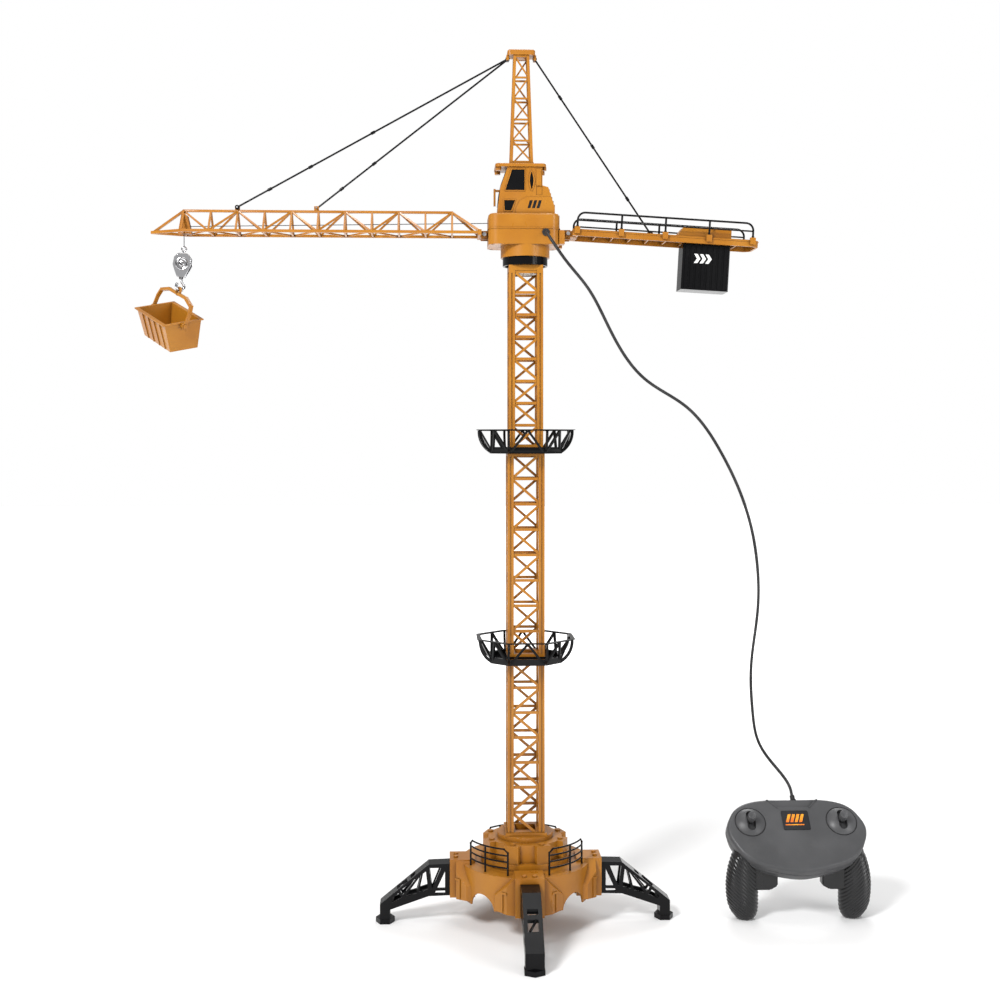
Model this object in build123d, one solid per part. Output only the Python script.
from build123d import *
from math import acos, atan2, cos, pi, radians, sin, tan
import os

# A toy tower crane on the floor: +Z up. The pieces are laid out from the mast axis, and are moved by
# MAST_X as they are written, so that the origin is on the floor under the middle of the whole outline.
# The jib points to -X, the counter-jib to +X, and the cab door side faces -Y.
os.makedirs("parts", exist_ok=True)

# ---- driving dimensions, mm ----
MAST_X = 32.0                # mast axis from the origin
# base
HUB_RADIUS = 94.0            # round outer wall
DECK_Z = 90.0
WALL = 2.4                   # moulded wall thickness
SOCKET_REACH = 111.0         # outer face of a leg socket
SOCKET_TOP = 95.0
SOCKET_BOTTOM = 40.0
SOCKET_WIDTH = 41.0
SOCKET_FLARE = 96.0          # width over the side flanges
ARCH_RADIUS = 22.0           # cut-outs in the wall between the sockets
LEG_WIDTH = 26.0
LEG_TOP = 87.0
LEG_REACH = 215.0
LEG_WALL = 4.0
FIT = 0.25                   # plug-in clearance between moulded parts
DRUM_RADIUS = 62.0
DRUM_TOP = 124.0
DISC_RADIUS = 41.0
DISC_TOP = 131.0
RAILING_RADIUS = 86.0        # the two front handrails
REAR_RAILING_RADIUS = 70.5   # the two rear handrails, close behind the drum
RAILING_ROD = 1.2
POST_ROD = 1.4
CORNER_DROP = 5.0            # the top rail dips to its end posts
CORNER_SWELL = 0.3           # its corners are moulded a little thicker than the rods
CORNER_TURN = 4              # degrees between an end post and the start of the dip
RAILING_HEIGHT = 37.0
REAR_RAILING_HEIGHT = 31.0
FRONT_RAILING = (RAILING_RADIUS, 25, RAILING_HEIGHT)      # radius, half spread in degrees, height
REAR_RAILING = (REAR_RAILING_RADIUS, 19, REAR_RAILING_HEIGHT)
RAILINGS = [(FRONT_RAILING, 225), (FRONT_RAILING, 315), (REAR_RAILING, 119), (REAR_RAILING, 61)]
# mast
MAST_WIDTH = 54.0
MAST_HEAD_WIDTH = 50.0       # the top section is slimmer
LEG_SQUARE = 9.0             # corner post of the mast
BRACE_WIDTH = 3.8
MAST_BOTTOM = 128.0
RING_THICKNESS = 9.0         # platform floor between two mast sections
LOWER_RING_Z = 382.0
UPPER_RING_Z = 687.0
MAST_TOP = 962.0
HEAD_PLATE = 8.0             # solid plate on the top section
SPIGOT_WIDTH = 35.0          # each section plugs into the one below
PLATFORM_FACE = 56.0         # width of a platform's four front panels
PLATFORM_FLOOR = 52.0        # floor edge from the axis
PLATFORM_RIM = 69.0          # rim from the axis
PLATFORM_RISE = 35.0
RIB = 3.4
# slewing
COLLAR_RADIUS = 33.0
COLLAR_TOP = 974.0
POST_RADIUS = 10.0
POST_TOP = 1002.0
BEARING_GAP = 0.06           # running clearance on radius
SLEW_MODULE = 1.0
SLEW_GEAR_TEETH = 36
SLEW_PINION_TEETH = 12
PINION_WIDTH = 6.0
# housing
CASE_LEFT = -55.0
CASE_RIGHT = 49.0
CASE_HALF_DEPTH = 36.0
CASE_BOTTOM = 991.0
CASE_SPLIT = 1015.0
CASE_TOP = 1036.0
NECK_RADIUS = 36.0
# winch
WINCH_MODULE = 0.8
WINCH_GEAR_TEETH = 34
WINCH_PINION_TEETH = 12
WINCH_X = -32.0
WINCH_Z = 1017.0
STRING_RADIUS = 0.45
WIND_RADIUS = 25.0 / 3       # string centre on the drum, so 120 rad of drum per metre of string
# jib
JIB_TIP_X = -546.0
JIB_TIP_NODE_X = -498.6      # first upright
JIB_PITCH = 39.1
JIB_PANELS = 10
JIB_ROOT_X = -66.0
JIB_BOTTOM_Z = 1009.0
JIB_TOP_Z = 1041.0
JIB_HALF_WIDTH = 25.0
CHORD = 4.0
LACING = 2.8
JIB_PIN_X = -60.5
PULLEY_X = -493.4
PULLEY_Z = 1013.0
PULLEY_RADIUS = 5.0          # string centre on the tip pulley
# counter-jib
COUNTER_PIN_X = 62.0
COUNTER_PIN_Z = 1009.0
COUNTER_DROOP = 3.3          # degrees, the deck slopes down to its end
COUNTER_LENGTH = 274.0
COUNTER_HALF_WIDTH = 30.0
# cab and peak
CAB_HALF_WIDTH = 24.0
ROOF_BOTTOM = 1105.0
ROOF_TOP = 1110.0
PEAK_X = -6.0
PEAK_TOP = 1271.5
PEAK_WIDTH_LOW = 34.0
PEAK_WIDTH_HIGH = 23.0
CAP_HEIGHT = 8.0
# hook block, hook and basket
STRING_X = PULLEY_X - PULLEY_RADIUS
EYE_Z = 985.0
BLOCK_LEAN = 6.0             # degrees, the block leans to the jib tip
HOOK_YAW = 33.0              # degrees, swivel of the hook at rest
THROAT_DROP = 54.5           # hook throat below the eye
HOOK_RADIUS = 6.0
HOOK_ROD = 2.0
BASKET_LEAN = 22.0           # degrees, the basket leans to the front at rest
HANDLE_LEAN = 27.0           # degrees, the handle against the basket at rest
HANDLE_DROP = 39.5           # handle pivots below the handle's eye
BASKET_LENGTH = 110.0
BASKET_WIDTH = 62.0
BASKET_DEPTH = 43.0
FOOT_WIDTH = 42.0
FOOT_LENGTH = 96.0
HANDLE_TOP_HALF = 28.0       # half of the straight top bar
ARM_STRAIGHT = 18.0          # upright end of each handle arm
# controller
CONTROL_X = 404.0
CONTROL_Z = 118.0
FACE_TILT = 45.0             # degrees, face leaning back from upright
HEAD_RISE = 14.0
HEAD_DROP = 24.0
CELL_W = -13.0               # battery cells below the split plane
STICK_SPACING = 137.0
STICK_V = 15.0
DOME_RADIUS = 22.0
GRIP_Y = -12.0
CABLE_RADIUS = 2.2


# ---- helpers ----
def block(x0, x1, y0, y1, z0, z1):
    """A box between two corners."""
    return Pos((x0 + x1) / 2, (y0 + y1) / 2, (z0 + z1) / 2) * Box(x1 - x0, y1 - y0, z1 - z0)


def disc(x, y, z0, z1, radius):
    """An upright cylinder."""
    return Pos(x, y, (z0 + z1) / 2) * Cylinder(radius, z1 - z0)


def plate_y(points, y0, y1):
    """A plate with its outline in the XZ plane, between two Y positions."""
    outline = Polyline(*[(x, y0, z) for x, z in points], close=True)
    return extrude(make_face(outline), y1 - y0, dir=(0, 1, 0))


def plate_z(points, z0, z1):
    """A plate with its outline in the XY plane, between two heights."""
    outline = Polyline(*[(x, y, z0) for x, y in points], close=True)
    return extrude(make_face(outline), z1 - z0, dir=(0, 0, 1))


def rod(start, end, radius):
    """A round rod between two points."""
    run = Vector(*end) - Vector(*start)
    return extrude(Plane(origin=start, z_dir=run) * Circle(radius), run.length)


def bar(start, end, width, depth, facing=(0, 1, 0)):
    """A square-edged bar between two points, with its depth along facing."""
    run = Vector(*end) - Vector(*start)
    across = Vector(*facing).cross(run)
    plane = Plane(origin=start, x_dir=across, z_dir=run)
    return extrude(plane * Rectangle(width, depth), run.length)


def pipe(points, radius, turn=4.0):
    """A bent round bar through points, with rounded turns."""
    path = FilletPolyline(*points, radius=turn)
    return sweep((path ^ 0) * Circle(radius), path)


def joined(pieces):
    """One solid from touching pieces."""
    return Part() + list(pieces)


def turned(piece, angle):
    """The piece turned about the mast axis."""
    return Rot(0, 0, angle) * piece


def screw(x, y, z_head, length, radius=1.1, head=2.2, up=True):
    """A pan-head screw whose shank goes up (or down) from its head."""
    way = 1 if up else -1
    shank = rod((x, y, z_head), (x, y, z_head + way * length), radius)
    cap = rod((x, y, z_head), (x, y, z_head - way * 1.4), head)
    return shank + cap


def gear(teeth, module, width, backlash=0.16):
    """A spur gear with involute flanks in short flats, a tooth on +X, its bottom face on XY."""
    pitch = teeth * module / 2
    base = pitch * cos(radians(20))
    tip = pitch + 0.8 * module
    root = pitch - 1.05 * module
    opening = pi / (2 * teeth) - backlash / (2 * pitch)

    def half_angle(radius):
        def involute(r):
            return tan(acos(min(1.0, base / r))) - acos(min(1.0, base / r))
        return opening + involute(pitch) - involute(max(radius, base))

    radii = [root, max(root, base) + 0.02, (max(root, base) + pitch) / 2, pitch, (pitch + tip) / 2, tip]
    corners = []
    for tooth in range(teeth):
        middle = 2 * pi * tooth / teeth
        for r in radii:
            corners.append((r * cos(middle - half_angle(r)), r * sin(middle - half_angle(r))))
        for r in reversed(radii):
            corners.append((r * cos(middle + half_angle(r)), r * sin(middle + half_angle(r))))
    return plate_z(corners, 0, width)


PARTS = {}


def keep(name, *pieces):
    """Store a sub-part under its node name, or add more separate pieces to it."""
    PARTS.setdefault(name, []).extend(solid for piece in pieces for solid in piece.solids())


# ---- base ----
def leg_socket():
    """The flared bracket on +X that takes one leg, solid until the leg's slot is cut."""
    half = SOCKET_WIDTH / 2
    core = block(HUB_RADIUS - 20, SOCKET_REACH, -half, half, SOCKET_BOTTOM, SOCKET_TOP)
    flange_face = [(half, SOCKET_TOP - 2), (SOCKET_FLARE / 2, SOCKET_TOP - 30),
                   (SOCKET_FLARE / 2, SOCKET_BOTTOM + 4), (half, SOCKET_BOTTOM)]
    flanges = []
    for side in (-1, 1):
        outline = Polyline(*[(HUB_RADIUS - 14, side * y, z) for y, z in flange_face], close=True)
        flange = extrude(make_face(outline), 22.0, dir=(1, 0, 0))
        cut = Pos(SOCKET_REACH - 3, side * SOCKET_FLARE / 2, 70) * Rot(0, 0, side * 42) * Box(30, 40, 90)
        on_flange = Pos(96.9, side * 38, 0) * Rot(0, 0, side * 42)
        ridge = on_flange * (Pos(0, 0, 58) * Box(3, 3, 28) + Pos(0, -side * 3.5, 71) * Box(3, 10, 3))
        flanges.append(flange - cut + ridge)
    return joined([core] + flanges)


def make_hub():
    """The round wall, deck and four leg sockets, open below."""
    wall = disc(0, 0, SOCKET_BOTTOM, DECK_Z, HUB_RADIUS)
    wall -= disc(0, 0, SOCKET_BOTTOM, DECK_Z - WALL, HUB_RADIUS - WALL)
    sockets = [turned(leg_socket(), quarter * 90) for quarter in range(4)]
    hub = joined([wall] + sockets)
    half = LEG_WIDTH / 2 + FIT
    for quarter in range(4):
        angle = quarter * 90
        slot = block(HUB_RADIUS - 24, SOCKET_REACH + 1, -half, half, SOCKET_BOTTOM - 1, LEG_TOP + FIT)
        hub -= turned(slot, angle)
        for side in (-1, 1):
            hub -= turned(disc(SOCKET_REACH - 9, side * 7.5, LEG_TOP - 1, SOCKET_TOP + 1, 1.5), angle)
        arch = rod((0, 0, SOCKET_BOTTOM - 2), (HUB_RADIUS + 40, 0, SOCKET_BOTTOM - 2), ARCH_RADIUS)
        hub -= turned(arch, angle + 45)
    hub -= disc(0, 0, DECK_Z - 3, DECK_Z + 1, 24)
    for quarter in range(4):
        hub -= turned(disc(34, 0, DECK_Z - 3, DECK_Z + 1, 1.6), quarter * 90 + 45)
    for (radius, spread, _), middle in RAILINGS:
        for post in (-1, 0, 1):
            post_hole = disc(radius, 0, DECK_Z - 3, DECK_Z + 1, POST_ROD + 0.05)
            hub -= turned(post_hole, middle + post * spread)
    return hub


def make_drum():
    """The lobed drum on the deck, with the square socket for the mast."""
    drum = disc(0, 0, DECK_Z, DRUM_TOP, DRUM_RADIUS - 8)
    lobes = []
    for lobe in range(8):
        angle = lobe * 45 + 22.5
        lobes.append(turned(block(30, DRUM_RADIUS, -11, 11, DECK_Z, DRUM_TOP), angle))
        lobes.append(turned(disc(DRUM_RADIUS - 8, 0, DRUM_TOP, DRUM_TOP + 2.4, 4), angle))
    skirt = disc(0, 0, DECK_Z, DECK_Z + 9, DRUM_RADIUS + 3)
    top = disc(0, 0, DRUM_TOP, DISC_TOP, DISC_RADIUS)
    half = MAST_WIDTH / 2 + FIT
    collar = block(-half - 3, half + 3, -half - 3, half + 3, DISC_TOP - 1, DISC_TOP + 4)
    drum = joined([drum, skirt, top, collar] + lobes)
    socket = block(-half, half, -half, half, MAST_BOTTOM, DISC_TOP + 5)
    hollow = disc(0, 0, DECK_Z, MAST_BOTTOM - 12, 27)
    moat = disc(0, 0, DECK_Z - 1, DRUM_TOP - 4, DRUM_RADIUS - 12) - disc(0, 0, 0, DRUM_TOP, 40)
    drum = drum - socket - hollow - moat
    for quarter in range(4):
        drum -= turned(disc(34, 0, DECK_Z - 1, DECK_Z + 12, 1.0), quarter * 90 + 45)
    return drum


def make_leg():
    """One truss leg along +X: side plates with lacing, a top flange, a post and a foot."""
    root = HUB_RADIUS - 22
    top = [(root, LEG_TOP), (SOCKET_REACH, LEG_TOP), (142, LEG_TOP - 1),
           (LEG_REACH - 2, 29), (LEG_REACH - 2, 7),
           (LEG_REACH - 17, 7), (LEG_REACH - 17, 21), (142, 40), (SOCKET_REACH, 41), (root, 41)]
    side = plate_y(top, -LEG_WIDTH / 2, LEG_WIDTH / 2)
    panels = [
        [(118, 44), (118, 76), (133, 44)],
        [(124, 81), (141, 81), (137, 50)],
        [(146, 76), (143, 50), (156, 46), (150, 73)],
        [(153, 71), (160, 44), (176, 40)],
        [(158, 68), (180, 42), (184, 48), (162, 65)],
        [(186, 45), (181, 38), (195, 32), (197, 36)],
    ]
    leg = side
    for panel in panels:
        leg -= plate_y(panel, -LEG_WIDTH, LEG_WIDTH)
    inner = [(root - 1, LEG_TOP - 4), (140, LEG_TOP - 5), (LEG_REACH - 22, 37), (LEG_REACH - 22, 24),
             (140, 36), (root - 1, 36)]
    leg -= plate_y(inner, -LEG_WIDTH / 2 + LEG_WALL, LEG_WIDTH / 2 - LEG_WALL)
    for x, length in ((165, 7), (181, 14)):
        leg -= Pos(x, 0, 66) * Box(length, LEG_WIDTH - 2 * LEG_WALL - 3, 60)
    leg += bar((174, 5, 60), (188, -5, 49), 2.4, 3.0, facing=(0, 0, 1))
    hexagon = [(LEG_REACH - 9.5 + 14 * cos(k * pi / 3), 16 * sin(k * pi / 3)) for k in range(6)]
    leg = leg + plate_z(hexagon, 0, 7)
    for side_way in (-1, 1):
        leg -= disc(SOCKET_REACH - 9, side_way * 7.5, LEG_TOP - 5, LEG_TOP + 1, 1.5)
    return leg


def make_stud():
    """One snap stud that passes down through a socket top into the leg."""
    shank = disc(SOCKET_REACH - 9, 7.5, LEG_TOP - 3, SOCKET_TOP, 1.5)
    head = disc(SOCKET_REACH - 9, 7.5, SOCKET_TOP, SOCKET_TOP + 3, 3.4)
    return shank + fillet(head.edges().sort_by(Axis.Z)[-1:], 1.4)


def make_railing(radius, spread, height):
    """One curved handrail centred on +X: three posts and four rails, its top corners cut off."""
    rails = []
    for share in (0.28, 0.52, 0.76, 1.0):
        z = DECK_Z + height * share
        reach = spread - (CORNER_TURN if share == 1.0 else 0)
        path = Pos(0, 0, z) * CenterArc((0, 0), radius, -reach, 2 * reach)
        rails.append(sweep((path ^ 0) * Circle(RAILING_ROD), path))
    for step in (-1, 0, 1):
        top = DECK_Z + height - (0 if step == 0 else CORNER_DROP)
        rails.append(turned(disc(radius, 0, DECK_Z - 2.4, top, POST_ROD), step * spread))
    for side in (-1, 1):
        low = turned(Pos(radius, 0, DECK_Z + height - CORNER_DROP), side * spread).position
        high = turned(Pos(radius, 0, DECK_Z + height), side * (spread - CORNER_TURN)).position
        rails.append(rod(low, high, RAILING_ROD))
        rails.append(Pos(low) * Sphere(POST_ROD + CORNER_SWELL))
        rails.append(Pos(high) * Sphere(RAILING_ROD + CORNER_SWELL))
    return joined(rails)


hub = make_hub()
keep("base_hub", hub)
keep("centre_drum", make_drum())
leg = make_leg()
keep("legs", *[turned(leg, q * 90) for q in range(4)])
stud = make_stud()
keep("leg_studs", *[turned(p, q * 90) for q in range(4) for p in (stud, mirror(stud, Plane.XZ))])
keep("base_railings", *[turned(make_railing(*size), middle) for size, middle in RAILINGS])
keep("tower_screws", *[turned(screw(34, 0, DECK_Z - WALL, 10, radius=1.0), q * 90 + 45) for q in range(4)])


# ---- mast ----
def lattice_face(width, z0, z1, panels, flip):
    """One lattice face in the XZ plane: horizontals and a zigzag, centred on Y = 0."""
    clear = width / 2 - LEG_SQUARE
    pitch = (z1 - z0) / panels
    bars = []
    for level in range(panels + 1):
        z = min(max(z0 + level * pitch, z0 + 2), z1 - 2)
        bars.append(block(-clear - 1, clear + 1, -1.4, 1.4, z - 2, z + 2))
    for level in range(panels):
        side = 1 if (level + flip) % 2 else -1
        low = (-side * (clear + 0.8), 0, z0 + level * pitch + 2.2)
        high = (side * (clear + 0.8), 0, z0 + (level + 1) * pitch - 2.2)
        bars.append(bar(low, high, BRACE_WIDTH, 2.8))
    return joined(bars)


def mast_section(width, z0, z1, panels, flip):
    """Four grooved corner posts with a lattice face on each side."""
    centre = width / 2 - LEG_SQUARE / 2
    post = block(centre - LEG_SQUARE / 2, centre + LEG_SQUARE / 2, centre - LEG_SQUARE / 2,
                 centre + LEG_SQUARE / 2, z0, z1)
    edge = width / 2
    post -= block(edge - 1.1, edge + 1, centre - 0.9, centre + 1.3, z0 + 4, z1 - 4)
    post -= block(centre - 0.9, centre + 1.3, edge - 1.1, edge + 1, z0 + 4, z1 - 4)
    face = Pos(0, -width / 2 + 2.6, 0) * lattice_face(width, z0, z1, panels, flip)
    pieces = []
    for quarter in range(4):
        pieces.append(turned(post, quarter * 90))
        pieces.append(turned(face, quarter * 90))
    return joined(pieces)


def square_ring(outer, inner, z0, z1):
    """A flat square frame."""
    return block(-outer, outer, -outer, outer, z0, z1) - block(-inner, inner, -inner, inner, z0, z1)


def end_frame(z0, z1, width, hole):
    """The closing frame at a section's end."""
    return square_ring(width / 2, hole / 2, z0, z1)


SPIGOT_HOLE = SPIGOT_WIDTH + 2 * FIT
lower = joined([mast_section(MAST_WIDTH, MAST_BOTTOM, LOWER_RING_Z, 7, 0),
                end_frame(MAST_BOTTOM, MAST_BOTTOM + 8, MAST_WIDTH, 30),
                end_frame(LOWER_RING_Z - 4, LOWER_RING_Z, MAST_WIDTH, SPIGOT_HOLE)])
keep("lower_mast", lower)

middle_foot = LOWER_RING_Z + RING_THICKNESS
middle = joined([mast_section(MAST_WIDTH, middle_foot, UPPER_RING_Z, 8, 0),
                 end_frame(middle_foot, middle_foot + 4, MAST_WIDTH, 30),
                 square_ring(SPIGOT_WIDTH / 2, 15, middle_foot - RING_THICKNESS - 6, middle_foot + 1),
                 end_frame(UPPER_RING_Z - 4, UPPER_RING_Z, MAST_WIDTH, SPIGOT_HOLE)])
keep("middle_mast", middle)

upper_foot = UPPER_RING_Z + RING_THICKNESS
upper = joined([mast_section(MAST_HEAD_WIDTH, upper_foot, MAST_TOP - HEAD_PLATE, 8, 1),
                end_frame(upper_foot, upper_foot + 4, MAST_HEAD_WIDTH, 30),
                square_ring(SPIGOT_WIDTH / 2, 15, upper_foot - RING_THICKNESS - 6, upper_foot + 1),
                block(-MAST_HEAD_WIDTH / 2, MAST_HEAD_WIDTH / 2, -MAST_HEAD_WIDTH / 2, MAST_HEAD_WIDTH / 2,
                      MAST_TOP - HEAD_PLATE, MAST_TOP)])
upper -= disc(0, 0, MAST_TOP - HEAD_PLATE - 1, MAST_TOP + 1, POST_RADIUS)
for quarter in range(4):
    upper -= turned(disc(13, 0, MAST_TOP - HEAD_PLATE - 1, MAST_TOP - 3, 0.9), quarter * 90 + 45)
keep("upper_mast", upper)


def make_platform(ring_z, mast_width):
    """A bowl-shaped walkway: a floor frame, curved ribs, zigzag struts and a thin rim."""
    half = PLATFORM_FACE / 2
    floor_z = ring_z
    top_z = ring_z + PLATFORM_RISE

    def octagon(reach, side):
        """Corners of an eight-sided ring, front face first."""
        ring = []
        for quarter in range(4):
            for x, y in ((-side, -reach), (side, -reach)):
                turn = radians(quarter * 90)
                ring.append((x * cos(turn) - y * sin(turn), x * sin(turn) + y * cos(turn)))
        return ring

    floor = plate_z(octagon(PLATFORM_FLOOR, half), floor_z, floor_z + RING_THICKNESS)
    floor -= Pos(0, 0, floor_z) * Box(SPIGOT_HOLE, SPIGOT_HOLE, 30)
    dish = plate_z(octagon(PLATFORM_FLOOR - 4, half - 3), floor_z + 3, floor_z + 20)
    floor -= dish - Pos(0, 0, floor_z) * Box(mast_width + 2, mast_width + 2, 60)
    rim = plate_z(octagon(PLATFORM_RIM, half + 1), top_z - 2, top_z)
    rim -= plate_z(octagon(PLATFORM_RIM - 3.4, half - 0.4), top_z - 3, top_z + 1)
    ledge = plate_z(octagon(PLATFORM_RIM + 2.5, half + 2), top_z - 0.9, top_z)
    ledge -= plate_z(octagon(PLATFORM_RIM - 1, half), top_z - 3, top_z + 1)
    pieces = [floor, rim, ledge]
    low_ring = octagon(PLATFORM_FLOOR - 2, half - 1.5)
    high_ring = octagon(PLATFORM_RIM - 2, half - 0.5)
    bow = 4.5
    for corner in range(8):
        x0, y0 = low_ring[corner]
        x1, y1 = high_ring[corner]
        out = atan2(y1 - y0, x1 - x0)
        middle_point = ((x0 + x1) / 2 + bow * cos(out), (y0 + y1) / 2 + bow * sin(out),
                        (floor_z + top_z) / 2 - 2)
        path = ThreePointArc((x0, y0, floor_z + 2), middle_point, (x1, y1, top_z - 1))
        across = Plane(origin=path @ 0, x_dir=(-sin(out), cos(out), 0), z_dir=path % 0)
        pieces.append(sweep(across * Rectangle(RIB, RIB + 1), path))
    for face in range(8):
        a, b = low_ring[face], low_ring[(face + 1) % 8]
        p, q = high_ring[face], high_ring[(face + 1) % 8]
        peak = ((p[0] + q[0]) / 2, (p[1] + q[1]) / 2, top_z - 1.4)
        out = ((p[0] + q[0]), (p[1] + q[1]), 0)
        for end, other in ((a, b), (b, a)):
            foot = (end[0] * 0.93 + other[0] * 0.07, end[1] * 0.93 + other[1] * 0.07, floor_z + 3)
            pieces.append(bar(foot, peak, RIB, 2.8, facing=out))
    return joined(pieces)


keep("lower_platform", make_platform(LOWER_RING_Z, MAST_WIDTH))
keep("upper_platform", make_platform(UPPER_RING_Z, MAST_HEAD_WIDTH))


# ---- slewing parts on the mast head ----
collar = disc(0, 0, MAST_TOP, COLLAR_TOP, COLLAR_RADIUS)
collar -= disc(0, 0, MAST_TOP - 1, COLLAR_TOP - 3, COLLAR_RADIUS - 3)
collar += disc(0, 0, MAST_TOP, COLLAR_TOP, POST_RADIUS + 4)
keep("slew_collar", collar - disc(0, 0, MAST_TOP - 1, COLLAR_TOP + 1, POST_RADIUS))

POST_FOOT = MAST_TOP - HEAD_PLATE - 3
post = disc(0, 0, POST_FOOT, POST_TOP, POST_RADIUS)
post += disc(0, 0, POST_FOOT, POST_FOOT + 3, 17)
post -= disc(0, 0, POST_FOOT - 1, POST_TOP + 1, 6.5)
for quarter in range(4):
    post -= turned(disc(13, 0, POST_FOOT - 1, POST_FOOT + 4, 1.15), quarter * 90 + 45)
GEAR_Z = COLLAR_TOP + 4.0
key_flat = block(8.6, 12, -12, 12, GEAR_Z, POST_TOP + 1)
post -= key_flat
clip_groove = disc(0, 0, GEAR_Z + PINION_WIDTH + 0.1, GEAR_Z + PINION_WIDTH + 1.3, 20)
clip_groove -= disc(0, 0, 0, POST_TOP, 8.4)
keep("slew_post", post - clip_groove)
keep("tower_screws", *[turned(screw(13, 0, POST_FOOT, 7.5, radius=0.9, head=2.0), q * 90 + 45) for q in range(4)])
ring_bore = disc(0, 0, -1, PINION_WIDTH + 1, POST_RADIUS) - block(8.6, 12, -12, 12, -1, PINION_WIDTH + 1)
fixed_gear = gear(SLEW_GEAR_TEETH, SLEW_MODULE, PINION_WIDTH) - ring_bore
keep("slew_gear", Pos(0, 0, GEAR_Z) * fixed_gear)
clip = disc(0, 0, GEAR_Z + PINION_WIDTH + 0.1, GEAR_Z + PINION_WIDTH + 1.2, 12.6)
clip -= disc(0, 0, GEAR_Z, GEAR_Z + 12, 8.45)
keep("post_clip", clip - block(-14, 0, -5, 5, GEAR_Z, GEAR_Z + 12))

SLEW_SHAFT_X = (SLEW_GEAR_TEETH + SLEW_PINION_TEETH) * SLEW_MODULE / 2
SHAFT_RADIUS = 1.5
FRAME_Z = CASE_BOTTOM + WALL
FRAME_TOP = FRAME_Z + 2.0
slew_pinion = Pos(SLEW_SHAFT_X, 0, GEAR_Z) * Rot(0, 0, 180 / SLEW_PINION_TEETH) * gear(
    SLEW_PINION_TEETH, SLEW_MODULE, PINION_WIDTH)
slew_pinion += disc(SLEW_SHAFT_X, 0, GEAR_Z - 2.4, FRAME_TOP + 2, SHAFT_RADIUS)
keep("slew_pinion", slew_pinion)


# ---- housing ----
def rounded_box(x0, x1, half, z0, z1, corner):
    """A box with round upright corners."""
    flat = Pos((x0 + x1) / 2, 0, z0) * RectangleRounded(x1 - x0, 2 * half, corner)
    return extrude(flat, z1 - z0)


def make_case():
    """The lower housing: a tray with a round neck that turns on the collar."""
    body = rounded_box(CASE_LEFT, CASE_RIGHT, CASE_HALF_DEPTH, CASE_BOTTOM, CASE_SPLIT, 14)
    rim = rounded_box(CASE_LEFT - 1, CASE_RIGHT + 1, CASE_HALF_DEPTH + 1, CASE_SPLIT - 1.6, CASE_SPLIT, 15)
    neck_z = COLLAR_TOP + BEARING_GAP
    neck = disc(0, 0, neck_z, CASE_BOTTOM, NECK_RADIUS)
    lugs = []
    for side in (-1, 1):
        lugs.append(block(-65, CASE_LEFT + 1, side * 9.5 - 1.5, side * 9.5 + 1.5, 1001, 1013))
        lugs.append(block(CASE_RIGHT - 1, COUNTER_PIN_X + 4, side * 9.5 - 1.5, side * 9.5 + 1.5, 1001, 1015))
        lugs.append(block(CASE_RIGHT - 1, COUNTER_PIN_X - 6, side * 22 - 8, side * 22 + 8, 992, 1012))
    case = joined([body, rim, neck] + lugs)
    case -= rounded_box(CASE_LEFT + WALL, CASE_RIGHT - WALL, CASE_HALF_DEPTH - WALL, FRAME_Z, CASE_SPLIT + 1, 11.6)
    case -= disc(0, 0, neck_z + 2.4, FRAME_Z + 1, NECK_RADIUS - WALL)
    case -= disc(0, 0, neck_z - 1, neck_z + 3, POST_RADIUS + BEARING_GAP)
    case += disc(SLEW_SHAFT_X, 0, neck_z, neck_z + 1.6, 3.5)
    case -= disc(SLEW_SHAFT_X, 0, neck_z + 0.6, neck_z + 4, SHAFT_RADIUS + BEARING_GAP)
    bosses = []
    for x, y in CASE_BOSSES:
        bosses.append(disc(x, y, CASE_BOTTOM, CASE_SPLIT, 3.6))
    case = joined([case] + bosses)
    for x, y in CASE_BOSSES:
        case -= disc(x, y, CASE_BOTTOM - 1, CASE_SPLIT + 1, 1.2)
        case -= disc(x, y, CASE_BOTTOM - 1, CASE_BOTTOM + 6, 2.6)
    for x, z in ((JIB_PIN_X, 1007.0), (COUNTER_PIN_X, COUNTER_PIN_Z)):
        case -= rod((x, -40, z), (x, 40, z), 1.5)
    case -= rod((GROMMET_X, -40, GROMMET_Z), (GROMMET_X, -30, GROMMET_Z), 4.0)
    for x, y in FRAME_SCREWS:
        case -= disc(x, y, CASE_BOTTOM - 1, FRAME_Z + 1, 1.0)
    return case


CASE_BOSSES = [(-49, 29), (-49, -29), (43, 29), (43, -29)]
FRAME_SCREWS = [(-40, 21), (-40, -21), (38, 21), (38, -21)]
GROMMET_X = 28.0
GROMMET_Z = 1008.0
keep("lower_case", make_case())


def make_cover():
    """The upper housing: a rounded lid with a bevelled top edge, open below."""
    body = rounded_box(CASE_LEFT, CASE_RIGHT, CASE_HALF_DEPTH, CASE_SPLIT, CASE_TOP, 14)
    body = chamfer(body.faces().sort_by(Axis.Z)[-1].edges(), 2.4)
    cover = body - rounded_box(CASE_LEFT + WALL, CASE_RIGHT - WALL, CASE_HALF_DEPTH - WALL, CASE_SPLIT - 1,
                               CASE_TOP - WALL, 11.6)
    bosses = [disc(x, y, CASE_SPLIT, CASE_TOP - 1, 3.6) for x, y in CASE_BOSSES]
    cover = joined([cover] + bosses)
    for x, y in CASE_BOSSES:
        cover -= disc(x, y, CASE_SPLIT - 1, CASE_SPLIT + 9, 0.95)
    cover -= block(CASE_LEFT - 1, CASE_LEFT + 3, -2.5, 2.5, 1021, 1030)
    for side in (-1, 1):
        for x in (-36, 34):
            cover -= disc(x, side * 18, CASE_TOP - 4, CASE_TOP + 1, 1.2)
    return cover


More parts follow.
